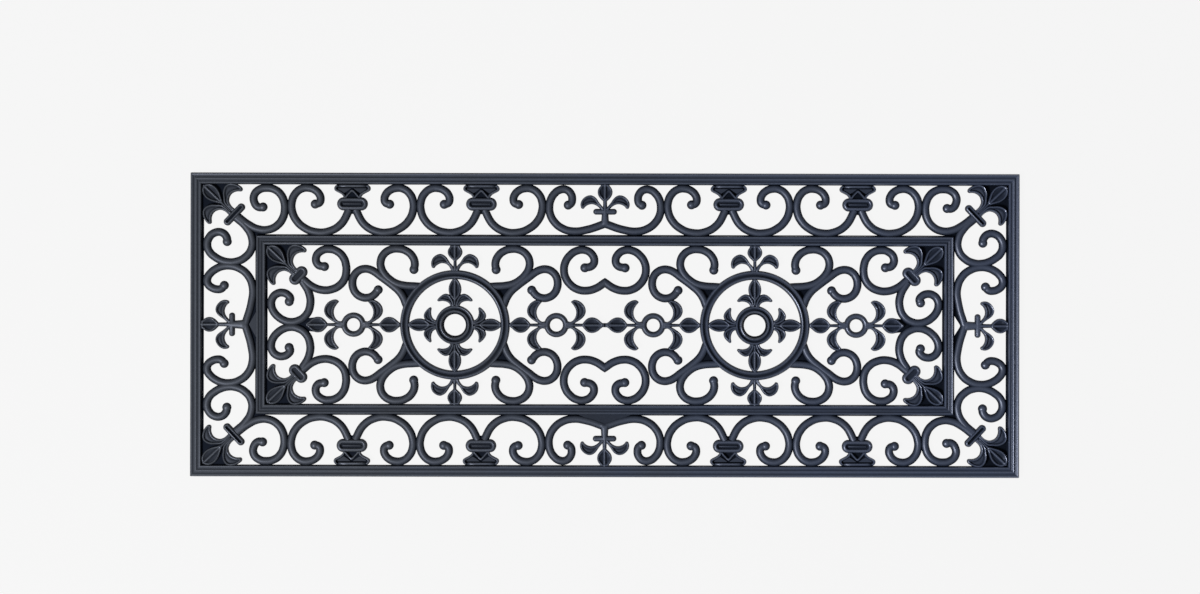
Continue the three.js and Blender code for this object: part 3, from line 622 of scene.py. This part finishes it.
# Band fleurs. In the middle of each long and each short side two scrolls rise to a post, which
# carries a rounded cross bar, two curled leaves and a round bud whose tip runs into the rail. All
# is one with the rails, in the same rubber, and the leaves and the bud are hollow between rims.
fleur_scroll = {"eye": (0.713, 0.621), "roundness": 1.266, "first": 205, "turn": 25,
                "radii": [0.997, 0.750, 0.635, 0.540, 0.460, 0.406, 0.366, 0.357, 0.361, 0.379,
                          0.366, 0.294, 0.202, 0.140],
                "end": [(0.658, 0.618)]}
side_fleur_scroll = {"eye": (0.718, 0.664), "roundness": 1.256, "first": 211, "turn": 25,
                     "radii": [1.0, 0.780, 0.690, 0.587, 0.468, 0.380, 0.325, 0.297, 0.300, 0.323,
                               0.310, 0.242, 0.189, 0.167],
                     "end": [(0.655, 0.603)]}
leaf_profile = [(0, 3.6), (0.3, 6.4), (0.7, 8.2), (1.2, 9.2), (1.9, 9.7), (2.7, 9.3), (3.3, 8.0),
                (3.8, 6.4), (4.4, 6.4), (5.2, 7.2), (9, 7.8)]
bud_profile = [(0, 3.6), (0.3, 6.4), (0.7, 8.2), (1.2, 9.2), (1.9, 9.7), (2.7, 9.2), (3.3, 7.8),
               (3.8, 6.4), (4.4, 6.0), (12, 5.8)]
bud_rib = [(0, 9.2), (0.8, 8.9), (1.5, 8.1), (2.2, 6.6), (2.8, 5.0), (2.9, 0), (20, 0)]
stem_profile = [(0, 3.0), (0.3, 5.2), (0.7, 7.2), (1.2, 8.5), (1.9, 9.1), (9, 9.1)]
fleur_leaf_out = [(0.2, 36.4), (2.0, 40.2), (5.0, 43.6), (8.4, 47.8), (11.6, 52.6), (15.4, 56.4),
                  (20.4, 58.4), (26, 57.6), (31, 54.4), (34.4, 50), (35.7, 45.4), (35.2, 41.4),
                  (34.1, 39.4), (32.6, 38.6)]
fleur_leaf_in = [(4.4, 34.6), (6.2, 37.4), (8.2, 39.8), (10.4, 41.8), (13, 43.6), (16, 44.9),
                 (19.4, 45.4), (22.8, 44.9), (25.6, 43.8), (27.8, 42.4), (29.4, 40.8), (30.2, 39.6),
                 (31.2, 38.8), (32.6, 38.6)]
axis_cut = (-0.1 * mm, 0, 0)
fleur_bar_along = 34.6


def band_fleur(scroll, half, half_inset, depth, post_half):
    """A fleur that runs along +Y from the inner rail, as deep as its band."""
    fleur_box = (0, bar_inset, half - half_inset, depth - 2 * bar_inset)
    scroll_bar = round_bar(longer(fair(wound(scroll, fleur_box)), run=8))
    trim(scroll_bar[0], axis_cut, (-1, 0, 0))
    leaf = relief(fleur_leaf_out, fleur_leaf_in, leaf_profile)
    top = depth / mm
    edge = [(1.8, top - 24.2), (4.4, top - 21.8), (7.8, top - 18.2), (10.0, top - 14.4),
            (10.8, top - 10.6), (10.4, top - 7), (8.8, top - 3.6), (6.6, top - 0.8),
            (6.0, top + 1.5)]
    bud = on_axis(edge, bud_profile, bud_rib, steps=3)
    stem = on_axis([(3.6, 38), (3.0, 44), (2.9, top - 20)], stem_profile, steps=3, columns=6)
    edge = [(post_half + 2.4, 13), (post_half + 0.6, 20), (post_half, 26), (post_half - 0.6, 34),
            (post_half - 1.6, 40), (2.2, 45)]
    post_profile = [(0, 3.0), (0.3, 4.8), (0.7, 6.2), (1.2, 7.2), (1.9, 8.2), (2.7, 9.0),
                    (4.4, 9.7)]
    post = on_axis(edge, post_profile, steps=3, columns=8)
    bar = capsule(length=34.4, width=8.6, along=fleur_bar_along,
                  rounding=[(0, 3.0), (0.3, 5.2), (0.9, 7.0), (1.8, 8.3), (2.9, 8.9), (4.0, 9.0)])
    return fused(scroll_bar + mirrored(scroll_bar) + [leaf] + mirrored([leaf])
                 + [bud, stem, post, bar])


# The wedge between the two scrolls and the inner rail is open at the top, and webbed at the bottom
# and on the left. On the right it is open between two toes, and the cross bar runs over the post.
fleur_half = (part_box("centre_fleur_top")[1].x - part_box("centre_fleur_top")[0].x) / 2
fleur = band_fleur(fleur_scroll, fleur_half, bar_inset, band_depth, post_half=5.2)
copy_to(fleur, "centre_fleur_top", 0, inner_outside.y)
web = plate([(-40, -1), (40, -1), (28, 4), (14, 9), (0, 15), (-14, 9), (-28, 4)],
            height=6.6)
fleur = fused([fleur, web])
copy_to(fleur, "centre_fleur_bottom", 0, -inner_outside.y, 180)
bpy.data.objects.remove(fleur)
side_half = (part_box("side_fleur_left")[1].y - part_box("side_fleur_left")[0].y) / 2
side_bar_inset = 2.2 * mm
side_depth = rail_inside.x - inner_outside.x
fleur = band_fleur(side_fleur_scroll, side_half, side_bar_inset, side_depth,
                   post_half=6.0)
toe = plate([(17.5, -1), (36, -1), (34, 3), (20, 7), (2, 11), (0.8, 9.4)], height=4.6)
over_bar = capsule(length=31, width=6.6, along=fleur_bar_along,
                   rounding=[(0, 8.0), (0.6, 9.0), (1.4, 9.7), (2.4, 9.9)])
open_fleur = fused([twin(fleur), over_bar, toe] + mirrored([toe]))
copy_to(open_fleur, "side_fleur_right", inner_outside.x, 0, -90)
bpy.data.objects.remove(open_fleur)
web = plate([(-38, -1), (38, -1), (30, 4), (16, 9), (0, 16), (-16, 9), (-30, 4)],
            height=3.8)
raised_web = plate([(-19, -1), (19, -1), (0, 9.5)], height=7.2)
fleur = fused([fleur, web, raised_web])
copy_to(fleur, "side_fleur_left", -inner_outside.x, 0, 90)
bpy.data.objects.remove(fleur)

# Corner palmettes. Each outer corner is filled by a leaf form on its diagonal: a pointed bud with
# a midrib, two curled leaves on a thin web, and a fluted stem that a slotted cross bar ties. It is
# moulded in one with the rails, in the same rubber.
palmette_slope = 43.4
palmette_reach = 63.3
palmette_leaf_out = [(0.4, 60), (0.4, 54), (0.6, 47), (2.0, 40.5), (6.8, 34.8), (11.2, 29.9),
                     (17.4, 26.2), (24, 25.4), (30, 28.6), (34.4, 35.4), (36.0, 41.4), (35.8, 45.4),
                     (34.0, 47.6)]
palmette_leaf_in = [(6.4, 60), (6.0, 54), (6.5, 49.5), (9.2, 44), (14.2, 40.8), (18, 40.0),
                    (21.4, 40.4), (24.4, 41.6), (26.8, 43.2), (28.8, 45.2), (30.2, 46.8),
                    (31.8, 47.8), (34.0, 47.6)]
palmette_web = [(0, -1), (34, 32), (27, 37), (16, 38), (4, 46), (-4, 46), (-16, 38), (-27, 37),
                (-34, 32)]


def palmette(bar):
    """A palmette that runs along +Y from the corner of the rails."""
    leaf = relief(palmette_leaf_out, palmette_leaf_in, leaf_profile)
    edge = [(0.0, 2.4), (3.8, 3.4), (7.2, 6.0), (9.8, 10.4), (11.0, 15.6), (10.8, 20.4),
            (9.4, 25.6), (7.0, 30.4), (4.6, 34.8), (2.8, 38.4)]
    bud = on_axis(edge, bud_profile, bud_rib)
    stem = on_axis([(2.4, 34), (2.2, 45), (2.2, 60)], stem_profile, columns=5)
    web = plate(palmette_web, height=3.0)
    return fused([leaf] + mirrored([leaf]) + [bud, stem, web, bar])


def in_corner(piece):
    """Turns what was modelled along +Y so that it runs in from a right-hand top corner."""
    piece.data.transform(Matrix.Rotation(math.radians(90 + palmette_slope), 4, "Z"))
    return piece


ends = (("left", -1), ("right", 1))


def to_corners(master, node, corner):
    """The same form in all four corners: the bottom ones are turned, and two are mirrored."""
    for row, up in rows:
        for end, side in ends:
            copy_to(master, "%s_%s_%s" % (node, row, end), side * corner.x, up * corner.y,
                    0 if up > 0 else 180, mirror=side * up < 0)
    bpy.data.objects.remove(master)


cross_bar = capsule(length=40, width=11.2, along=palmette_reach,
                    rounding=[(0, 3.0), (0.3, 5.4), (0.9, 7.3), (1.7, 8.7), (2.6, 9.3), (3.3, 9.2)],
                    slot=[(3.9, 7.8), (4.5, 5.6), (4.9, 5.2)])
to_corners(in_corner(palmette(cross_bar)), "corner_palmette", rail_inside)

# Corner scrolls. Two round rubber bars part from the cross bar of each corner palmette: one winds
# along the long band and one along the short band. A sunk web of the same moulding fills the fork.
corner_long_scroll = {"eye": (0.221, 0.746), "roundness": 1.066, "first": -21, "turn": -25,
                      "radii": [0.409, 0.356, 0.345, 0.330, 0.300, 0.265, 0.242, 0.239, 0.249,
                                0.257, 0.256, 0.263, 0.248, 0.190, 0.124],
                      "end": [(0.275, 0.737)]}
corner_end_scroll = {"eye": (0.753, 0.207), "roundness": 1.066, "first": 113, "turn": 25,
                     "radii": [0.395, 0.387, 0.394, 0.377, 0.315, 0.256, 0.218, 0.201, 0.202,
                               0.232, 0.254, 0.258, 0.242, 0.204, 0.125],
                     "end": [(0.727, 0.270)]}


def leg_start(past, aside, corner):
    """Where a scroll starts, past the middle of the bar across a palmette of this corner."""
    slope = math.radians(palmette_slope)
    along = (palmette_reach + past) * mm
    return (corner.x - along * math.cos(slope) - aside * mm * math.sin(slope),
            corner.y - along * math.sin(slope) + aside * mm * math.cos(slope))


corner_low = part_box("corner_scrolls_top_right")[0]
scroll_left = corner_low.x + bar_inset
scroll_low = corner_low.y + side_bar_inset
corner_box = (scroll_left, scroll_low, rail_inside.x - bar_inset - scroll_left,
              rail_inside.y - bar_inset - scroll_low)
long_start = leg_start(past=5, aside=1.0, corner=rail_inside)
end_start = leg_start(past=5, aside=-1.7, corner=rail_inside)
scroll_bars = (round_bar(fair(wound(corner_long_scroll, corner_box, long_start)))
               + round_bar(fair(wound(corner_end_scroll, corner_box, end_start))))
fork_x, fork_y = inner_outside / mm
fork_web = plate([(fork_x - 16, fork_y - 2), (fork_x - 2, fork_y - 2), (fork_x - 2, fork_y - 16),
                  (fork_x + 6, fork_y - 8), (fork_x + 9, fork_y + 9), (fork_x - 8, fork_y + 6)],
                 height=3.4)
scrolls = fused(scroll_bars + [fork_web])
scrolls.data.transform(Matrix.Translation((-rail_inside.x, -rail_inside.y, 0)))
to_corners(scrolls, "corner_scrolls", rail_inside)

# Field palmettes and scrolls. The corners of the middle field repeat the outer ones in the same
# rubber, but a fat rounded knot with a small sunk slot ties the stem, and the bars wind wider.
knot = capsule(length=31, width=17.4, along=palmette_reach,
               rounding=[(0, 3.0), (0.3, 5.4), (0.9, 7.2), (1.8, 8.5), (3.0, 9.2), (4.2, 9.3)],
               slot=[(4.9, 8.8), (5.6, 7.4), (6.2, 6.4), (7.0, 6.2)])
to_corners(in_corner(palmette(knot)), "field_palmette", field)
field_long_scroll = {"eye": (0.203, 0.718), "roundness": 1.041, "first": -22, "turn": -25,
                     "radii": [0.395, 0.353, 0.317, 0.283, 0.257, 0.233, 0.216, 0.219, 0.242,
                               0.266, 0.285, 0.296, 0.279, 0.188],
                     "end": [(0.284, 0.756)]}
field_end_scroll = {"eye": (0.770, 0.222), "roundness": 1.041, "first": 135, "turn": 25,
                    "radii": [0.407, 0.401, 0.373, 0.332, 0.270, 0.228, 0.205, 0.196, 0.204,
                              0.223, 0.237, 0.227, 0.194, 0.143],
                    "end": [(0.723, 0.320), (0.743, 0.280)]}
field_bar_inset = 3.3 * mm
scroll_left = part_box("field_scrolls_top_right")[0].x + bar_inset
field_box = (scroll_left, field_bar_inset, field.x - bar_inset - scroll_left,
             field.y - bar_inset - field_bar_inset)
long_start = leg_start(past=8, aside=0.6, corner=field)
end_start = leg_start(past=10, aside=-1.8, corner=field)
scrolls = fused(round_bar(fair(wound(field_long_scroll, field_box, long_start)))
                + round_bar(fair(wound(field_end_scroll, field_box, end_start))))
scrolls.data.transform(Matrix.Translation((-field.x, -field.y, 0)))
to_corners(scrolls, "field_scrolls", field)

# Medallion rings. A large rubber ring on each half of the field: two rounded ridges with a dark
# groove between them. The mould was turned on a lathe there, so the section is spun.
ring_low, ring_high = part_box("medallion_ring_right")
medallion_x = (ring_low.x + ring_high.x) / 2
ring_radius = (ring_high.x - ring_low.x) / 2 / mm


def spun_ring(section, steps):
    """A ring from its section of radius and height, spun round the upright axis."""
    bpy.ops.object.select_all(action="DESELECT")
    bpy.ops.mesh.primitive_circle_add(vertices=len(section), fill_type="NOTHING")
    ring = bpy.context.object
    for vertex, (radius, up) in zip(ring.data.vertices, section):
        vertex.co = (radius * mm, 0, up * mm)
    bpy.ops.object.mode_set(mode="EDIT")
    bpy.ops.mesh.select_all(action="SELECT")
    bpy.ops.mesh.spin(steps=steps, angle=2 * math.pi, center=(0, 0, 0), axis=(0, 0, 1))
    close_up(within=0.000005)
    bpy.ops.object.shade_smooth_by_angle(angle=smooth_up_to)
    return ring


ring = spun_ring([(ring_radius - inward, up) for inward, up in
                  [(0, 0), (0.1, 4.0), (0.5, 6.6), (1.2, 8.5), (2.2, 9.6), (3.3, 9.7), (4.3, 8.8),
                   (5.2, 7.4), (6.0, 6.3), (6.7, 5.9), (7.4, 6.2), (8.2, 7.4), (9.1, 9.0),
                   (10.1, 9.8), (11.1, 9.6), (12.0, 8.6), (12.8, 6.8), (13.3, 3.8), (13.4, 0)]],
                 steps=96)
for end, side in ends:
    copy_to(ring, "medallion_ring_" + end, side * medallion_x)
bpy.data.objects.remove(ring)

# Medallion hubs. A smaller ridged ring in the middle, and four fleurs that grow out of it to the
# large ring: each a bud between two short curled leaves. All of it is the same rubber moulding.
hub_ring = spun_ring([(28.6, 0), (28.5, 3.6), (28.0, 6.4), (27.3, 8.6), (26.4, 9.6), (25.5, 9.4),
                      (24.7, 8.2), (23.9, 6.6), (23.1, 5.8), (22.3, 6.2), (21.6, 7.8), (20.9, 9.4),
                      (20.1, 9.7), (19.3, 8.9), (18.6, 7.2), (17.8, 5.4), (16.8, 4.2), (15.9, 2.2),
                      (15.6, 0)], steps=72)
hub_leaf = relief([(0.4, 26), (1.0, 31), (3.4, 37.4), (7.6, 43.2), (12.8, 45.2), (17.4, 44.0),
                   (21.6, 41.0), (24.8, 37.4), (25.6, 35.4), (24.8, 34.2)],
                  [(6.6, 26), (7.6, 29.6), (9.4, 31.8), (11.8, 33.2), (14.4, 34.0), (17.0, 34.4),
                   (19.4, 34.4), (21.8, 34.0), (23.4, 33.8), (24.8, 34.2)], leaf_profile)
hub_edge = [(0.8, 35), (3.6, 37.6), (6.8, 41.8), (8.8, 47), (9.3, 52.2), (8.4, 57.4), (6.2, 62.2),
            (3.8, 65.6), (3.0, 67.6)]
hub_bud = on_axis(hub_edge, bud_profile, bud_rib)
hub_stem = on_axis([(2.4, 25), (2.2, 42)], stem_profile, columns=5)
hub_web = plate([(5.6, 25), (9, 40), (8, 46), (-8, 46), (-9, 40), (-5.6, 25)], height=3.8)
hub_fleur = [hub_leaf] + mirrored([hub_leaf]) + [hub_bud, hub_stem, hub_web]
arms = [twin(form, Matrix.Rotation(math.radians(quarter), 4, "Z"))
        for quarter in (0, 90, 180, 270) for form in hub_fleur]
for form in hub_fleur:
    bpy.data.objects.remove(form)
hub = fused([hub_ring] + arms)
for end, side in ends:
    copy_to(hub, "medallion_hub_" + end, side * medallion_x)
bpy.data.objects.remove(hub)

# Crown fleurs. Above and below each medallion a thin stem carries two curled leaves and a round
# bud, from the ring to the inner rail, in the same rubber moulding.
top = field.y / mm
crown_leaf = relief([(0.4, 77), (1.4, 81.8), (3.6, 86.2), (7.0, 89.6), (9.8, 94), (14, 99.5),
                     (20.6, 102.8), (27.4, 101), (32.4, 96.5), (34.6, 90.4), (34.4, 85.6),
                     (33.4, 83.0), (31.6, 82.0)],
                    [(5.4, 77), (6.4, 80.4), (7.8, 83.2), (9.6, 85.6), (12, 87.6), (15, 88.8),
                     (19.0, 89.2), (22.4, 88.4), (25.4, 86.8), (27.8, 84.9), (29.0, 83.4),
                     (30.0, 82.2), (31.6, 82.0)], leaf_profile)
crown_edge = [(1.8, top - 22), (4.4, top - 19.6), (8.0, top - 16), (10.2, top - 12),
              (10.7, top - 8.6), (9.8, top - 5), (7.8, top - 1.8), (6.8, top + 1.2)]
crown_bud = on_axis(crown_edge, bud_profile, bud_rib)
crown_stem = on_axis([(4.6, 77), (3.2, 80.5), (2.4, 86), (2.2, top - 18)], stem_profile, columns=5)
crown = fused([crown_leaf] + mirrored([crown_leaf]) + [crown_bud, crown_stem])
for end, side in ends:
    copy_to(crown, "crown_fleur_top_" + end, side * medallion_x)
    copy_to(crown, "crown_fleur_bottom_" + end, side * medallion_x, 0, 180)
bpy.data.objects.remove(crown)

# Medallion scrolls. In each quarter round a medallion a round rubber bar winds up to the inner
# rail and a second one winds down beside the ring; a thin web fills the wedge between them.
c_scroll = {"eye": (0.051, 0.763), "roundness": 0.628, "first": 228, "turn": 25,
            "radii": [0.345, 0.261, 0.223, 0.200, 0.202, 0.223, 0.245, 0.257, 0.252, 0.243, 0.244,
                      0.244, 0.238],
            "end": [(-0.289, 0.727)]}
s_scroll = {"start": [(-0.123, 0.272), (-0.072, 0.363), (0.022, 0.450), (0.166, 0.522),
                      (0.297, 0.586)],
            "eye": (0.716, 0.545), "roundness": 0.628, "first": 155, "turn": -25,
            "radii": [0.212, 0.193, 0.193, 0.198, 0.196, 0.189, 0.182, 0.183, 0.191, 0.196, 0.198,
                      0.197],
            "end": [(0.456, 0.459)]}
scroll_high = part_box("medallion_scrolls_top_right_outer")[1]
touching_inset = 3.9 * mm
scroll_width = scroll_high.x - medallion_x - touching_inset - ring_radius * mm
medallion_box = (ring_radius * mm, 0, scroll_width, field.y - bar_inset)
web_shares = [(-0.42, 0.50), (-0.05, 0.56), (0.18, 0.50), (0.06, 0.42), (-0.10, 0.27),
              (-0.25, 0.30)]
web = plate([((medallion_box[0] + x * medallion_box[2]) / mm, y * medallion_box[3] / mm)
             for x, y in web_shares], height=3.0)
quarter_scrolls = fused(round_bar(longer(fair(wound(c_scroll, medallion_box)), run=14))
                        + round_bar(longer(fair(wound(s_scroll, medallion_box)), run=14))
                        + [web])
ring_overlap = 1.2
bpy.ops.object.select_all(action="DESELECT")
bpy.ops.mesh.primitive_cylinder_add(vertices=96, radius=(ring_radius - ring_overlap) * mm,
                                    depth=40 * mm)
cutter = bpy.context.object
select_only(quarter_scrolls)
seat = quarter_scrolls.modifiers.new("seat", "BOOLEAN")
seat.operation = "DIFFERENCE"
seat.solver = "MANIFOLD"
seat.object = cutter
bpy.ops.object.modifier_apply(modifier=seat.name)
bpy.data.objects.remove(cutter)
bpy.ops.object.shade_smooth_by_angle(angle=smooth_up_to)
for end, side in ends:
    for row, up in rows:
        for where, outward in (("outer", 1), ("inner", -1)):
            copy_to(quarter_scrolls, "medallion_scrolls_%s_%s_%s" % (row, end, where),
                    side * medallion_x, 0, 0 if up > 0 else 180, mirror=side * outward * up < 0)
bpy.data.objects.remove(quarter_scrolls)

# Rosettes. Each medallion has one on either side, of the same rubber: a round ring whose two necks
# open into four curled leaves, with a thin stem and an oval bud on each side. The two inner ones
# are linked in the mat's middle; a web joins the outer ones to the scrolls of the field's corners.
rosette_offset = 146.9
rosette_ring = spun_ring([(17.8, 0), (17.7, 3.4), (17.2, 6.0), (16.3, 8.0), (15.1, 9.2),
                          (13.7, 9.5), (12.3, 9.0), (11.0, 7.6), (10.0, 5.8), (9.4, 3.4),
                          (9.3, 0)], steps=48)
petal_in = [(13, 4.8), (17, 4.7), (20.4, 5.0), (23.4, 6.4), (26.2, 9.6), (28.2, 14.2), (28.6, 19.2),
            (27.6, 23.8), (25.6, 27.4), (23.6, 30.2), (22.0, 32.0), (21.2, 33.4), (22.0, 34.8)]
petal_out = [(13, 0.6), (18, 0.6), (22.6, 1.0), (27, 3.0), (32, 6.0), (37, 9.6), (40.8, 14),
             (42.6, 20), (41.2, 26.6), (37, 32.2), (31, 35.8), (25.6, 36.6), (22.0, 34.8)]
petal = relief(petal_out, petal_in, leaf_profile)
neck = relief([(12, -7.0), (16, -5.8), (20, -4.8), (24, -3.8), (28, -2.2)],
              [(12, 7.0), (16, 5.8), (20, 4.8), (24, 3.8), (28, 2.2)],
              [(0, 3.4), (0.3, 5.2), (0.7, 6.6), (1.2, 7.7), (1.9, 8.6), (2.7, 9.2), (4.2, 9.5)],
              steps=3, columns=7)
rosette_stem = relief([(24, -2.6), (32, -2.3), (40, -2.1)], [(24, 2.6), (32, 2.3), (40, 2.1)],
                      stem_profile, columns=5)
rosette_edge = [(37.4, 1.8), (39.6, 4.6), (42.8, 8.0), (46.8, 10.6), (51.6, 11.4), (56.4, 10.6),
                (60.8, 8.2), (64.4, 5.0), (68.0, 2.4)]
rosette_bud = relief([(x, -y) for x, y in rosette_edge], rosette_edge, bud_profile, bud_rib)
lower_petal = twin(petal, Matrix.Scale(-1, 4, (0, 1, 0)))
half_rosette = [petal, lower_petal, neck, rosette_stem, rosette_bud]
rosette = fused([rosette_ring] + half_rosette + mirrored(half_rosette))
link_end = medallion_x / mm - rosette_offset + 0.2
link = relief([(58, -3.6), (66, -3.1), (link_end, -3.1)], [(58, 3.6), (66, 3.1), (link_end, 3.1)],
              stem_profile, steps=3, columns=5)
linked = fused([twin(rosette), link])
bud_web = plate([(56, -10.5), (66, -9.5), (72, -4.5), (78, -2), (78, 2), (72, 4.5), (66, 9.5),
                 (56, 10.5)], height=3.4)
webbed = fused([rosette, bud_web])
for end, side in ends:
    for where, outward, form in (("outer", 1, webbed), ("inner", -1, linked)):
        copy_to(form, "rosette_%s_%s" % (where, end),
                side * (medallion_x + outward * rosette_offset * mm), 0,
                0 if side * outward > 0 else 180)
bpy.data.objects.remove(webbed)
bpy.data.objects.remove(linked)

# Heart scrolls. In the middle of the field two pairs of round rubber bars, one above the other,
# open towards the long sides, each pair joined in a point. They are moulded in one with the rest.
heart_scroll = {"eye": (0.552, 0.727), "roundness": 0.543, "first": 209, "turn": 25,
                "radii": [0.343, 0.311, 0.287, 0.271, 0.253, 0.245, 0.243, 0.247, 0.254, 0.270,
                          0.275, 0.255, 0.198],
                "end": [(0.293, 0.774), (0.485, 0.754)]}
heart_half = (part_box("heart_scrolls_top")[1].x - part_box("heart_scrolls_top")[0].x) / 2
heart_box = (0, 0, heart_half - touching_inset, field.y - bar_inset)
heart_bar = round_bar(longer(fair(wound(heart_scroll, heart_box)), run=8))
trim(heart_bar[0], axis_cut, (-1, 0, 0))
heart = fused(heart_bar + mirrored(heart_bar))
copy_to(heart, "heart_scrolls_top")
copy_to(heart, "heart_scrolls_bottom", degrees=180)
bpy.data.objects.remove(heart)
bpy.data.objects.remove(section_curve)
